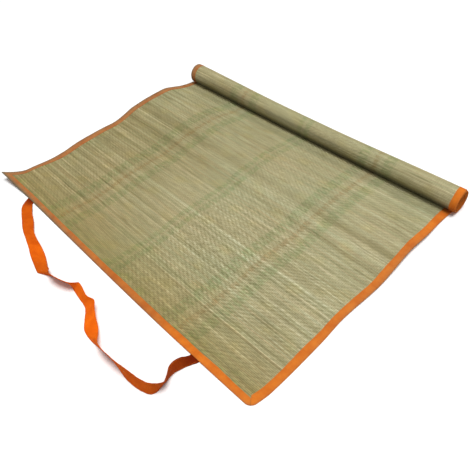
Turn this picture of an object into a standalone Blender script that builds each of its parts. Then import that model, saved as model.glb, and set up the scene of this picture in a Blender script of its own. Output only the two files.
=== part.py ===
"""Beach mat of woven straw with cloth-bound edges and a carry strap, partly rolled up.

The mat lies on a floor with its free edge towards -Y and its far end wound into a roll at +Y.
Run with: blender --background --python part.py
Metres, +Z up. The origin is on the floor, under the sheet's flat stretch, midway across.
"""
import math

import bmesh
import bpy
from mathutils import Vector

MM = 0.001

# Sheet
MAT_WIDTH = 900 * MM
SHEET_THICKNESS = 1.8 * MM
LEFT_CORNER_RADIUS = 5 * MM
RIGHT_CORNER_RADIUS = 12 * MM
EDGE_TO_ORIGIN = 150 * MM

# Roll
ROLL_CONTACT = 660 * MM
ROLL_RADIUS = 27.1 * MM
ROLL_END_EXTRA = 2.1 * MM
ROLL_END_BACK = 3 * MM
ROLL_END_REACH = 380 * MM
ROLL_PITCH = 4.5 * MM
ROLL_TURNS = 4
STEPS_PER_TURN = 18
ROLL_HEIGHT_FACTOR = 0.975
ROLL_FLAT_DEPTH = 0.035
ROLL_FLAT_ANGLE = 0.5
ROLL_DRIFT = 9 * MM
DRIFT_ANGLE = 1.5 * math.pi
BOW_START = 430 * MM

# Edge tape, a strip folded over each edge
TAPE_WIDTH = 19 * MM
TAPE_THICKNESS = 0.7 * MM
TAPE_GAP = 0.4 * MM
TAPE_FOLD_OUT = 1.3 * MM
MITRE_GAP = 0.35 * MM
CORNER_FAN = 24 * MM
FAN_STEPS = 3

# How the sheet lies
LIFT_START = 22 * MM
LIFT_END = 85 * MM
SIDE_SAG_REACH = 100 * MM
RIGHT_WAVE_SHARE = 0.33
WAVE_FADE_POWER = 1.2
CURL_HEIGHT = 22 * MM
CURL_ACROSS = 110 * MM
CURL_ALONG = 52 * MM
CURL_POWER = 1.6
CURL_OUT = 6 * MM
FRONT_STRAY_REACH = 300 * MM

# Stations of the sheet, in mm from the left edge and from the free edge
ACROSS_STATIONS = [0, 9.5, 19, 30, 43, 60, 85, 120, 300, 600, 780, 881, 900]
ALONG_STATIONS = [
    0, 9.5, 19, 30, 43, 54, 65, 85, 120, 165, 205, 250, 300, 350, 380, 410,
    440, 470, 500, 530, 560, 590, 615, 640,
]

# Heights of the sheet's left edge above the floor, in mm: (along, height)
WAVE_ROWS = [
    (200, 0.0), (250, 4.0), (300, 8.0), (350, 9.5), (380, 13.0), (410, 23.0), (440, 28.5),
    (470, 31.0), (500, 32.0), (530, 31.0), (560, 22.0), (590, 11.5), (615, 6.0), (640, 2.5), (660, 0.0),
]

# How far the edges stray outwards from straight, in mm: (along, out) at the sides, (across, out) in front
LEFT_STRAY_ROWS = [
    (0, 0.0), (60, 0.0), (120, -7.0), (165, -4.0), (205, 3.5), (270, 0.5), (330, -4.5), (385, 3.0),
    (430, -2.5), (540, -3.0), (600, 1.0), (660, 2.0),
]
RIGHT_STRAY_ROWS = [
    (0, -1.5), (45, 5.0), (180, 5.0), (250, 2.0), (350, 7.2), (400, 6.5), (480, 2.5), (540, 4.0),
    (600, 1.7), (660, 3.5),
]
FRONT_STRAY_ROWS = [
    (0, 2.0), (100, 3.0), (300, 4.0), (500, 4.7), (660, 4.0), (780, 1.7), (850, 0.0), (900, -1.5),
]

# Carry strap, whose ends are sewn on under the front tape
STRAP_THICKNESS = 1.2 * MM
STRAP_GAP = 0.4 * MM
STRAP_STEPS = 2

# Rungs across the strap, in mm: across from the left corner, out from the free edge, up.
# (foot across, foot out, top across, top out, top up)
STRAP_RUNGS = [
    (108, -20, 134, -20, 0), (108, -2, 135, -2, 0), (111, 9, 138, 7, 0), (118, 21, 145, 11, 2),
    (128, 32, 157, 17, 5), (145, 42, 175, 26, 6), (173, 55, 203, 37, 5), (205, 69, 236, 53, 7),
    (238, 78, 267, 61, 11), (269, 87, 294, 65, 4), (296, 96, 323, 72, 2), (320, 102, 346, 80, 5),
    (340, 106, 364, 86, 11), (357, 105, 378, 88, 18), (371, 99, 391, 94, 26), (389, 90, 402, 97, 31),
    (407, 84, 413, 96, 31), (421, 79, 429, 92, 31), (433, 75, 445, 86, 30), (444, 76, 455, 79, 28),
    (455, 78, 461, 69, 25), (467, 80, 466, 61, 23), (486, 82, 485, 62, 23), (499, 83, 507, 67, 23),
    (512, 86, 525, 71, 23), (525, 94, 541, 76, 20), (540, 105, 559, 85, 17), (553, 114, 575, 92, 13),
    (567, 118, 588, 99, 15), (583, 119, 602, 107, 22), (598, 118, 613, 114, 28), (616, 116, 624, 118, 32),
    (635, 114, 640, 120, 33), (653, 113, 656, 118, 33), (670, 114, 670, 117, 33), (687, 116, 684, 115, 33),
    (704, 117, 698, 112, 32), (720, 116, 714, 109, 32), (738, 112, 734, 106, 33), (752, 104, 751, 100, 33),
    (758, 94, 760, 93, 33), (759, 85, 766, 86, 32), (758, 76, 770, 80, 31), (757, 67, 770, 74, 31),
    (755, 58, 766, 65, 32), (755, 48, 759, 56, 33), (758, 38, 755, 47, 33), (761, 27, 753, 37, 31),
    (765, 18, 752, 26, 25), (768, 12, 751, 18, 15), (770, 8, 749, 11, 6), (771, 4, 748, 5, 0),
    (771, -4, 747, -4, 0), (771, -20, 747, -20, 0),
]

STRAW_COLOUR = (0.38, 0.34, 0.16, 1.0)
TAPE_COLOUR = (0.76, 0.19, 0.03, 1.0)
STRAP_COLOUR = (0.80, 0.17, 0.015, 1.0)
STRAW_ROUGHNESS = 0.75
CLOTH_ROUGHNESS = 0.85

# Step used to find which way the sheet faces
FACING_STEP = 0.5 * MM


def clear_scene():
    for item in list(bpy.data.objects):
        bpy.data.objects.remove(item, do_unlink=True)


def make_collection(name):
    collection = bpy.data.collections.new(name)
    bpy.context.scene.collection.children.link(collection)
    return collection


def make_material(name, colour, roughness):
    material = bpy.data.materials.new(name)
    material.use_nodes = True
    shader = material.node_tree.nodes["Principled BSDF"]
    shader.inputs["Base Color"].default_value = colour
    shader.inputs["Roughness"].default_value = roughness
    shader.inputs["Metallic"].default_value = 0.0
    return material


def ease(value):
    """Smooth rise from 0 to 1."""
    clamped = min(max(value, 0.0), 1.0)
    return clamped * clamped * (3.0 - 2.0 * clamped)


def curve_through(rows, position):
    """Value at a position of the smooth curve through rows of (position, value)."""
    if position <= rows[0][0]:
        return rows[0][1]
    if position >= rows[-1][0]:
        return rows[-1][1]
    index = next(k for k in range(len(rows) - 1) if rows[k + 1][0] >= position)
    slopes = []
    for k in (index, index + 1):
        before = rows[max(k - 1, 0)]
        after = rows[min(k + 1, len(rows) - 1)]
        slopes.append((after[1] - before[1]) / (after[0] - before[0]))
    start, end = rows[index], rows[index + 1]
    span = end[0] - start[0]
    t = (position - start[0]) / span
    return ((2 * t**3 - 3 * t**2 + 1) * start[1] + (t**3 - 2 * t**2 + t) * span * slopes[0]
            + (3 * t**2 - 2 * t**3) * end[1] + (t**3 - t**2) * span * slopes[1])


def rest_height(across, along):
    """Height of the sheet's middle surface where it lies on the floor, its edge tape or the strap's ends."""
    tape = TAPE_GAP + TAPE_THICKNESS
    side = min(across, MAT_WIDTH - across)
    on_tape = tape * (1.0 - ease((side - TAPE_WIDTH) / (SIDE_SAG_REACH - TAPE_WIDTH)))
    lowered = ease((along - LIFT_START) / (LIFT_END - LIFT_START))
    on_strap = (tape + STRAP_GAP + STRAP_THICKNESS) * (1.0 - lowered)
    return SHEET_THICKNESS / 2 + max(on_tape, on_strap)


def wave_height(across, along):
    """Waves left by the roll: high at the left edge and lower towards the right."""
    left = max(curve_through(WAVE_ROWS, along / MM), 0.0) * MM
    fade = max(1.0 - across / MAT_WIDTH, 0.0)**WAVE_FADE_POWER
    return left * (RIGHT_WAVE_SHARE + (1.0 - RIGHT_WAVE_SHARE) * fade)


def curl_share(across, along):
    """The left corner of the free edge curls up: 1 at its tip and 0 where the sheet lies flat."""
    reach = 1.0 - across / CURL_ACROSS - along / CURL_ALONG
    return max(reach, 0.0)**CURL_POWER


def stray(across, along):
    """Shift to the right and onward of a place on the sheet whose edges aren't quite straight."""
    share = across / MAT_WIDTH
    left = curve_through(LEFT_STRAY_ROWS, along / MM) * MM
    right = curve_through(RIGHT_STRAY_ROWS, along / MM) * MM
    front = curve_through(FRONT_STRAY_ROWS, across / MM) * MM
    pulled = CURL_OUT * curl_share(across, along)
    front_share = 1.0 - ease(along / FRONT_STRAY_REACH)
    return right * share - left * (1.0 - share) - pulled, -front * front_share - pulled


def round_corners(across, along):
    """Draws the two corners of the free edge in to a rounded outline."""
    is_left = across < MAT_WIDTH / 2
    radius = LEFT_CORNER_RADIUS if is_left else RIGHT_CORNER_RADIUS
    side = across if is_left else MAT_WIDTH - across
    u = min(max(1.0 - side / radius, 0.0), 1.0)
    v = min(max(1.0 - along / radius, 0.0), 1.0)
    if u == 0.0 or v == 0.0:
        return across, along
    new_side = radius * (1.0 - u * math.sqrt(1.0 - v * v / 2)) + min(side, 0.0)
    new_along = radius * (1.0 - v * math.sqrt(1.0 - u * u / 2)) + min(along, 0.0)
    return new_side if is_left else MAT_WIDTH - new_side, new_along


def end_share(across):
    """1 at the roll's ends and 0 in its middle."""
    side = min(across, MAT_WIDTH - across)
    return 1.0 - ease(side / ROLL_END_REACH)


def roll_radius(across):
    """Outer radius of the winding: the taped ends make it thicker there."""
    return ROLL_RADIUS + ROLL_END_EXTRA * end_share(across)


def roll_angle(wound):
    """Angle turned by a length of sheet wound on, from the floor line."""
    radius = ROLL_RADIUS
    return (radius - math.sqrt(radius * radius - ROLL_PITCH * wound / math.pi)) * 2 * math.pi / ROLL_PITCH


def wound_length(angle):
    return ROLL_RADIUS * angle - ROLL_PITCH * angle * angle / (4 * math.pi)


def on_sheet(across, along):
    """Point of the sheet's middle surface at a place on the cut sheet."""
    across, along = round_corners(across, along)
    to_right, onward = stray(across, along)
    onward += ROLL_END_BACK * end_share(across) * ease((along - BOW_START) / (ROLL_CONTACT - BOW_START))
    x = across - MAT_WIDTH / 2 + to_right
    if along <= ROLL_CONTACT:
        curl = CURL_HEIGHT * curl_share(across, along)
        height = rest_height(across, along) + wave_height(across, along) + curl
        return Vector((x, along - EDGE_TO_ORIGIN + onward, height))
    angle = roll_angle(along - ROLL_CONTACT)
    radius = roll_radius(across) - ROLL_PITCH * angle / (2 * math.pi)
    from_floor = math.remainder(angle, 2 * math.pi)
    flat = 1.0 - ROLL_FLAT_DEPTH * math.exp(-(from_floor / ROLL_FLAT_ANGLE)**2)
    centre = rest_height(across, along) + roll_radius(across) * ROLL_HEIGHT_FACTOR * (1.0 - ROLL_FLAT_DEPTH)
    y = ROLL_CONTACT - EDGE_TO_ORIGIN + onward + radius * math.sin(angle)
    z = centre - radius * flat * ROLL_HEIGHT_FACTOR * math.cos(angle)
    return Vector((x + ROLL_DRIFT * ease(angle / DRIFT_ANGLE), y, z))


def off_sheet(across, along, offset):
    """Point at an offset from the middle surface, on the side that faces up where the sheet lies flat."""
    to_right = on_sheet(across + FACING_STEP, along) - on_sheet(across - FACING_STEP, along)
    onward = on_sheet(across, along + FACING_STEP) - on_sheet(across, along - FACING_STEP)
    return on_sheet(across, along) + to_right.cross(onward).normalized() * offset


def along_stations():
    """Stations from the free edge to the inner end of the winding."""
    flat = [station * MM for station in ALONG_STATIONS]
    angles = [2 * math.pi * k / STEPS_PER_TURN for k in range(ROLL_TURNS * STEPS_PER_TURN + 1)]
    return flat + [ROLL_CONTACT + wound_length(angle) for angle in angles]


def shape_grid(collection, name, material, columns, rows, place):
    """A grid whose crossing (column, row) is moved to place(column, row)."""
    mesh = bpy.data.meshes.new(name)
    build = bmesh.new()
    bmesh.ops.create_grid(build, x_segments=columns - 1, y_segments=rows - 1, size=0.5)
    for vertex in build.verts:
        column = round((vertex.co.x + 0.5) * (columns - 1))
        row = round((vertex.co.y + 0.5) * (rows - 1))
        vertex.co = place(column, row)
    build.to_mesh(mesh)
    build.free()
    piece = bpy.data.objects.new(name, mesh)
    collection.objects.link(piece)
    mesh.materials.append(material)
    mesh.shade_smooth()
    return piece


def add_thickness(piece, thickness, offset):
    """Gives the surface its thickness. Its quads are split the same way on pieces that lie face to face."""
    split = piece.modifiers.new("Split", 'TRIANGULATE')
    split.quad_method = 'SHORTEST_DIAGONAL'
    solid = piece.modifiers.new("Thickness", 'SOLIDIFY')
    solid.thickness = thickness
    solid.offset = offset
    solid.use_even_offset = True


def fold_profile():
    """The tape's inner face around an edge, from the upper flap to the lower: (inward, offset)."""
    height = SHEET_THICKNESS / 2 + TAPE_GAP
    upper = [(TAPE_WIDTH, height), (TAPE_WIDTH / 2, height), (0.0, height)]
    lower = [(inward, -height) for inward, offset in reversed(upper)]
    return upper + [(-TAPE_FOLD_OUT, 0.0)] + lower


def mitred(stations, inward):
    """Stations along a tape that begins on the corner's mitre line, fanned out to meet it."""
    start = inward + MITRE_GAP
    fan = [start + (CORNER_FAN - start) * k / FAN_STEPS for k in range(FAN_STEPS + 1)]
    return fan + [station for station in stations if station > CORNER_FAN]


def add_sheet(collection, material):
    across = [station * MM for station in ACROSS_STATIONS]
    along = along_stations()
    sheet = shape_grid(collection, "straw_sheet", material, len(across), len(along),
                       lambda column, row: on_sheet(across[column], along[row]))
    add_thickness(sheet, SHEET_THICKNESS, 0.0)


def add_side_tape(collection, material, name, is_left):
    profile = fold_profile() if is_left else fold_profile()[::-1]
    runs = [mitred(along_stations(), inward) for inward, offset in profile]

    def place(column, row):
        inward, offset = profile[row]
        across = inward if is_left else MAT_WIDTH - inward
        return off_sheet(across, runs[row][column], offset)

    tape = shape_grid(collection, name, material, len(runs[0]), len(profile), place)
    add_thickness(tape, TAPE_THICKNESS, 1.0)


def add_front_tape(collection, material):
    profile = fold_profile()[::-1]
    half = [station * MM for station in ACROSS_STATIONS if station * MM < MAT_WIDTH / 2]
    runs = []
    for inward, offset in profile:
        left = mitred(half, inward)
        right = [MAT_WIDTH - station for station in reversed(left)]
        runs.append(left + [MAT_WIDTH / 2] + right)

    def place(column, row):
        inward, offset = profile[row]
        return off_sheet(runs[row][column], inward, offset)

    tape = shape_grid(collection, "tape_front", material, len(runs[0]), len(profile), place)
    add_thickness(tape, TAPE_THICKNESS, 1.0)


def strap_edges():
    """Smooth foot and top edges of the strap through its rungs."""
    feet = []
    tops = []
    for foot_across, foot_out, top_across, top_out, top_up in STRAP_RUNGS:
        lowest = STRAP_THICKNESS / 2
        feet.append(Vector((foot_across * MM - MAT_WIDTH / 2, -foot_out * MM - EDGE_TO_ORIGIN, lowest)))
        tops.append(Vector((top_across * MM - MAT_WIDTH / 2, -top_out * MM - EDGE_TO_ORIGIN,
                            max(top_up * MM, lowest))))
    return smooth_line(feet), smooth_line(tops)


def smooth_line(points):
    """Points of a smooth line through the given ones, with STRAP_STEPS steps between two of them."""
    line = []
    for k in range(len(points) - 1):
        before = points[max(k - 1, 0)]
        after = points[min(k + 2, len(points) - 1)]
        start, end = points[k], points[k + 1]
        for step in range(STRAP_STEPS):
            t = step / STRAP_STEPS
            bend = 2 * before - 5 * start + 4 * end - after
            turn = 3 * start - before - 3 * end + after
            line.append(0.5 * (2 * start + (end - before) * t + bend * t**2 + turn * t**3))
    return line + [points[-1]]


def add_strap(collection, material):
    feet, tops = strap_edges()
    strap = shape_grid(collection, "carry_strap", material, len(feet), 2,
                       lambda column, row: (feet, tops)[row][column])
    add_thickness(strap, STRAP_THICKNESS, 0.0)


def main():
    clear_scene()
    collection = make_collection("beach_mat")
    straw = make_material("straw", STRAW_COLOUR, STRAW_ROUGHNESS)
    tape = make_material("edge_tape", TAPE_COLOUR, CLOTH_ROUGHNESS)
    strap = make_material("strap_cloth", STRAP_COLOUR, CLOTH_ROUGHNESS)
    add_sheet(collection, straw)
    add_side_tape(collection, tape, "tape_left", True)
    add_side_tape(collection, tape, "tape_right", False)
    add_front_tape(collection, tape)
    add_strap(collection, strap)


main()
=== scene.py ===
import math

import bpy
import numpy as np
from mathutils import Matrix, Vector


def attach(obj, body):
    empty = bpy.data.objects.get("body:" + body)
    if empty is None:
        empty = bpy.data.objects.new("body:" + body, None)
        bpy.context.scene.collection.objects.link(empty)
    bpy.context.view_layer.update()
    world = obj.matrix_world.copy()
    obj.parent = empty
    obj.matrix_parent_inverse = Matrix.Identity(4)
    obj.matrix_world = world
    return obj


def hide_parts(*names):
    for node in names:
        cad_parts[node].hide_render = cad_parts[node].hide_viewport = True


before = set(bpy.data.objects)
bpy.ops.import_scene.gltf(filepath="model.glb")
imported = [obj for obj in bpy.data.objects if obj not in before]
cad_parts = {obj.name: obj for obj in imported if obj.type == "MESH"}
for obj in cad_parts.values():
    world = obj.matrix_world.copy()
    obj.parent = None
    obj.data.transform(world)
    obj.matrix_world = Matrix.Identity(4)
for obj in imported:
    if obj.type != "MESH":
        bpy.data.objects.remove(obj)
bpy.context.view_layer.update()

mm = 0.001
dice = np.random.default_rng(41)


# Small tools for numbers

def rise(value):  # smooth step from 0 to 1
    value = np.clip(value, 0.0, 1.0)
    return value * value * (3.0 - 2.0 * value)


def riseOver(value, start, end):  # smooth step from 0 at start to 1 at end
    return rise((value - start) / (end - start))


def hump(value, centre, reach, power=2):  # 1 at the centre, fading to 0 beyond its reach
    return np.exp(-((value - centre) / reach)**power)


def between(first, second, share):  # a number or colour on the way from the first to the second
    return np.array(first) + share * (np.array(second) - np.array(first))


def curveThrough(rows, at):  # smooth curve through (mm, value) rows, at places in metres
    places, values = (np.array(column, float) for column in zip(*rows))
    before = np.maximum(np.arange(len(places)) - 1, 0)
    after = np.minimum(np.arange(len(places)) + 1, len(places) - 1)
    slopes = (values[after] - values[before]) / (places[after] - places[before])
    at = np.clip(at / mm, places[0], places[-1])
    k = np.clip(np.searchsorted(places, at) - 1, 0, len(places) - 2)
    span = places[k + 1] - places[k]
    t = (at - places[k]) / span
    return ((2 * t**3 - 3 * t**2 + 1) * values[k] + (t**3 - 2 * t**2 + t) * span * slopes[k]
            + (3 * t**2 - 2 * t**3) * values[k + 1] + (t**3 - t**2) * span * slopes[k + 1])


noise = {"waves": 5, "speeds": (0.6, 1.7), "quickening": 0.6, "phases": 6.28, "evenOut": 3.2}


def softNoise(seed, *phases):  # smooth noise from -1 to 1, made of a few waves
    waves = np.random.default_rng(seed)
    total = 0.0
    for octave in range(noise["waves"]):
        speeds = waves.uniform(*noise["speeds"], len(phases)) * waves.choice([-1, 1], len(phases))
        speeds = speeds * (1 + noise["quickening"] * octave)
        turn = sum(phase * speed for phase, speed in zip(phases, speeds))
        total = total + np.sin(turn + waves.uniform(0, noise["phases"]))
    return total / noise["evenOut"]


def unit(vectors):
    return vectors / np.maximum(np.linalg.norm(vectors, axis=-1, keepdims=True), 1e-12)


# How the mat is cut and lies. Across is counted from its left edge, along from its free edge.
mat = {
    "width": 900 * mm,
    "length": 1800 * mm,
    "edgeToOrigin": 150 * mm,
    "leftCornerRadius": 2 * mm,
    "rightCornerRadius": 12 * mm,
    "halfThickness": 0.80 * mm,
    "buckle": 0.7 * mm,
    "buckleSide": (30 * mm, 110 * mm),  # where the buckles begin and are full, from a side edge
    "buckleFront": (50 * mm, 130 * mm),
    "buckleBack": 60 * mm,
    "tapeWidth": 19 * mm,
    "tapeUnder": 0.36 * mm,  # the edges rest on their tape
    "tapeReach": 100 * mm,
    "frontReach": 70 * mm,
    "strapUnder": 1.7 * mm,  # and on the strap's sewn ends
    "strapHalf": 17 * mm,
    "strapReach": 75 * mm,
    "strapPlaces": [121 * mm, 759 * mm],
}

roll = {
    "contact": 660 * mm,
    "radius": 27.35 * mm,
    "core": 9 * mm,
    "endExtra": 2.1 * mm,
    "endBack": 3 * mm,
    "endReach": 380 * mm,
    "bowStart": 430 * mm,
    "heightFactor": 0.975,
    "flatDepth": 0.035,
    "flatAngle": 0.5,
    "drift": 9 * mm,
    "driftAngle": 1.5 * math.pi,
    "innerStart": 5.5,  # the angle at which the inner turns begin
    "recess": 6 * mm,  # the far end is cut narrower, so the inner turns stand back at the right
    "recessSkew": 3,
    "recessPower": 0.7,
    "slip": 1.0 * mm,
    "slipTurn": 0.61,
    "slipFade": 3.0,
}

curlCorner = {"height": 24 * mm, "across": 110 * mm, "along": 52 * mm, "power": 1.6, "out": 8.5 * mm}

wave = {
    "rightShare": 0.33,
    "fadePower": 1.2,
    "leftEdge": [  # how high it lies, as (mm along, mm high)
        (200, 0.0), (250, 4.0), (300, 8.0), (350, 9.5), (380, 13.0), (410, 23.0), (440, 28.5),
        (470, 31.0), (500, 32.0), (530, 31.0), (560, 22.0), (590, 11.5), (615, 6.0), (640, 2.5), (660, 0.0),
    ],
}

stray = {  # how far each edge strays outwards from straight, as (mm along it, mm out)
    "left": [(0, 0.0), (60, 0.0), (120, -7.0), (165, -4.0), (205, 3.5), (270, 0.5), (330, -4.5), (385, 3.0),
             (430, -2.5), (540, -3.0), (600, 1.0), (660, 2.0)],
    "right": [(0, -1.5), (45, 5.0), (180, 5.0), (250, 2.0), (350, 7.2), (400, 6.5), (480, 2.5), (540, 4.0),
              (600, 1.7), (660, 3.5)],
    "front": [(0, 2.0), (100, 3.0), (300, 4.0), (500, 4.7), (660, 4.0), (780, 1.7), (850, 0.0), (900, -1.5)],
    "frontReach": 300 * mm,
}

sheetNoises = {  # soft noise over the sheet: its seed, and how quickly it changes across and along
    "buckle": (7, 19, 13),
    "wander": (11, 14, 30),
    "pressed": (17, 50, 70),
    "tone": (3, 9, 7),
    "hue": (5, 6, 5),
    "yellow": (13, 24, 30),
    "blotch": (9, 70, 60),
}

crease = {  # painted shade where the roll touches the flat part, with a painted lighter band in front: how dark, where, how far, how square
    "onFlat": [(0.26, 42, 19, 2), (-1.2, 21, 7, 2), (0.85, 5, 7, 4)],  # in mm back from the roll
    "underRoll": (1.9, 5.34, 0.46, 4),  # in radians round the roll
}

woundLength = mat["length"] - roll["contact"]
pitch = math.pi * (roll["radius"]**2 - roll["core"]**2) / woundLength
angleEnd = 2 * math.pi * (roll["radius"] - roll["core"]) / pitch


def sheetNoise(name, across, along):
    seed, acrossSpeed, alongSpeed = sheetNoises[name]
    return softNoise(seed, across * acrossSpeed, along * alongSpeed)


def woundAt(angle):  # length of sheet wound on up to an angle
    return roll["radius"] * angle - pitch * angle * angle / (4 * math.pi)


def angleAt(wound):
    inside = np.maximum(roll["radius"]**2 - pitch * np.maximum(wound, 0.0) / math.pi, 0.0)
    return (roll["radius"] - np.sqrt(inside)) * 2 * math.pi / pitch


def roundCorners(across, along):
    onLeft = across < mat["width"] / 2
    radius = np.where(onLeft, mat["leftCornerRadius"], mat["rightCornerRadius"])
    side = np.where(onLeft, across, mat["width"] - across)
    u = np.clip(1.0 - side / radius, 0.0, 1.0)
    v = np.clip(1.0 - along / radius, 0.0, 1.0)
    newSide = radius * (1.0 - u * np.sqrt(1.0 - v * v / 2)) + np.minimum(side, 0.0)
    newAlong = radius * (1.0 - v * np.sqrt(1.0 - u * u / 2)) + np.minimum(along, 0.0)
    inCorner = (u > 0) & (v > 0)
    side = np.where(inCorner, newSide, side)
    return np.where(onLeft, side, mat["width"] - side), np.where(inCorner, newAlong, along)


def restHeight(across, along, side):  # of the flat sheet's middle over the floor
    onTape = 1.0 - riseOver(side, mat["tapeWidth"], mat["tapeReach"])
    onFront = 1.0 - riseOver(along, mat["tapeWidth"], mat["frontReach"])
    onStrap = 0.0
    for place in mat["strapPlaces"]:
        near = 1.0 - rise((np.abs(across - place) - mat["strapHalf"]) / mat["strapReach"])
        onStrap = np.maximum(onStrap, near * onFront)
    buckle = 0.5 + 0.5 * sheetNoise("buckle", across, along)
    inside = riseOver(side, *mat["buckleSide"]) * riseOver(along, *mat["buckleFront"])
    inside = inside * rise((roll["contact"] - along) / mat["buckleBack"])
    lift = np.maximum(mat["tapeUnder"] * np.maximum(onTape, onFront), mat["strapUnder"] * onStrap)
    return mat["halfThickness"] + lift + mat["buckle"] * buckle * inside


def layPoint(across, along):  # a place of the cut sheet's middle surface, where it lies
    across, along = np.broadcast_arrays(np.asarray(across, float), np.asarray(along, float))
    across, along = roundCorners(across, along)
    share = across / mat["width"]
    side = np.minimum(across, mat["width"] - across)
    end = 1.0 - rise(side / roll["endReach"])
    reach = 1.0 - across / curlCorner["across"] - along / curlCorner["along"]
    curl = np.maximum(reach, 0.0)**curlCorner["power"]
    left, right = (curveThrough(stray[edge], along) * mm for edge in ("left", "right"))
    front = curveThrough(stray["front"], across) * mm * (1.0 - rise(along / stray["frontReach"]))
    bow = roll["endBack"] * end * riseOver(along, roll["bowStart"], roll["contact"])
    x = across - mat["width"] / 2 + right * share - left * (1.0 - share) - curlCorner["out"] * curl
    onward = bow - front - curlCorner["out"] * curl
    leftWave = np.maximum(curveThrough(wave["leftEdge"], along), 0.0) * mm
    fade = wave["rightShare"] + (1.0 - wave["rightShare"]) * np.maximum(1.0 - share, 0.0)**wave["fadePower"]
    rest = restHeight(across, along, side)
    flatZ = rest + leftWave * fade + curlCorner["height"] * curl
    flatY = along - mat["edgeToOrigin"] + onward
    angle = angleAt(along - roll["contact"])
    outer = roll["radius"] + roll["endExtra"] * end
    radius = roll["core"] + (outer - roll["core"]) * (1.0 - angle / angleEnd)
    fromFloor = np.remainder(angle + math.pi, 2 * math.pi) - math.pi
    flat = 1.0 - roll["flatDepth"] * hump(fromFloor, 0.0, roll["flatAngle"])
    centre = rest + outer * roll["heightFactor"] * (1.0 - roll["flatDepth"])
    rollY = roll["contact"] - mat["edgeToOrigin"] + onward + radius * np.sin(angle)
    rollZ = centre - radius * flat * roll["heightFactor"] * np.cos(angle)
    slip = roll["slip"] * np.sin(angle * roll["slipTurn"])
    slip = slip * rise((angle - roll["innerStart"]) / roll["slipFade"])
    inner = riseOver(angle, roll["innerStart"], angleEnd)**roll["recessPower"]
    recess = roll["recess"] * share**roll["recessSkew"] * inner
    isWound = along > roll["contact"]
    x = x + np.where(isWound, roll["drift"] * rise(angle / roll["driftAngle"]) + slip - recess, 0.0)
    return np.stack([x, np.where(isWound, rollY, flatY), np.where(isWound, rollZ, flatZ)], -1)


def layFacing(across, along):  # which way the sheet's upper face looks
    step = 0.3 * mm
    toRight = layPoint(across + step, along) - layPoint(across - step, along)
    onward = layPoint(across, along + step) - layPoint(across, along - step)
    return unit(np.cross(toRight, onward))


def creaseShade(along, isTop):  # painted shade: 1 in the crease where the roll touches the flat part, 0 away from it, below 0 in the painted lighter band in front
    angle = angleAt(along - roll["contact"])
    back = (roll["contact"] - along) / mm
    onFlat = sum(dark * hump(back, *shape) for dark, *shape in crease["onFlat"])
    dark, *shape = crease["underRoll"]
    return np.where(isTop, onFlat, dark * hump(angle, *shape))


# Meshes from numbers

def makePiece(name, points, faces, material, smooth=True):
    mesh = bpy.data.meshes.new(name)
    mesh.from_pydata(np.reshape(points, (-1, 3)).tolist(), [], faces)
    mesh.materials.append(material)
    if smooth:
        mesh.shade_smooth()
    mesh.update()
    piece = bpy.data.objects.new(name, mesh)
    bpy.context.scene.collection.objects.link(piece)
    print(f"{name}: {sum(len(f) - 2 for f in faces)} triangles")
    return piece


def pointMap(piece, name, values):  # a UV map from two numbers for each point
    layer = piece.data.uv_layers.new(name=name, do_init=False)
    corners = np.empty(len(piece.data.loops), np.int32)
    piece.data.loops.foreach_get("vertex_index", corners)
    layer.uv.foreach_set("vector", np.reshape(values, (-1, 2)).astype(np.float32)[corners].ravel())


def pointColour(piece, name, colours):  # from red, green and blue for each point
    layer = piece.data.color_attributes.new(name, "FLOAT_COLOR", "POINT")
    solid = np.ones((colours.size // 3, 4), np.float32)
    solid[:, :3] = colours.reshape(-1, 3)
    layer.data.foreach_set("color", solid.ravel())


def loopTube(count, around):  # faces joining rings of points that each go round once, and both ends
    faces = []
    for ring in range(count - 1):
        a, b = ring * around, (ring + 1) * around
        for k in range(around):
            nextK = (k + 1) % around
            faces.append((a + k, a + nextK, b + nextK, b + k))
    faces.append(tuple(reversed(range(around))))
    faces.append(tuple((count - 1) * around + k for k in range(around)))
    return faces


# Materials

def newMaterial(name, roughness, specular):
    material = bpy.data.materials.new(name)
    material.use_nodes = True
    shader = material.node_tree.nodes["Principled BSDF"]
    shader.inputs["Roughness"].default_value = roughness
    shader.inputs["Specular IOR Level"].default_value = specular
    return material, material.node_tree, shader


def node(tree, kind, inputs=None, **settings):
    made = tree.nodes.new(kind)
    for key, value in settings.items():
        setattr(made, key, value)
    for key, value in (inputs or {}).items():
        if isinstance(value, bpy.types.NodeSocket):
            tree.links.new(value, made.inputs[key])
        else:
            made.inputs[key].default_value = value
    return made


def maths(tree, operation, first, second=0.0, third=0.0):
    return node(tree, "ShaderNodeMath", {0: first, 1: second, 2: third}, operation=operation).outputs[0]


def times(tree, first, second):
    return maths(tree, "MULTIPLY", first, second)


def ranged(tree, value, start, end, low=0.0, high=1.0, **settings):  # start to end becomes low to high
    sockets = {0: value, 1: start, 2: end, 3: low, 4: high}
    return node(tree, "ShaderNodeMapRange", sockets, **settings).outputs[0]


def mixed(tree, share, first, second, blend="MIX"):
    sockets = {0: share, 6: first, 7: second}
    return node(tree, "ShaderNodeMix", sockets, data_type="RGBA", blend_type=blend).outputs[2]


def tinted(tree, colour, tint):
    return mixed(tree, 1.0, colour, tint, "MULTIPLY")


def shaded(tree, colour, tone):  # the tone is one number
    return tinted(tree, colour, node(tree, "ShaderNodeCombineXYZ", {0: tone, 1: tone, 2: tone}).outputs[0])


def colourOn(tree, name):
    return node(tree, "ShaderNodeAttribute", attribute_name=name).outputs[0]


def placeOn(tree, mapName):  # the two numbers of a UV map
    read = node(tree, "ShaderNodeUVMap", uv_map=mapName)
    parts = node(tree, "ShaderNodeSeparateXYZ", {0: read.outputs[0]})
    return parts.outputs[0], parts.outputs[1]


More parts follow.
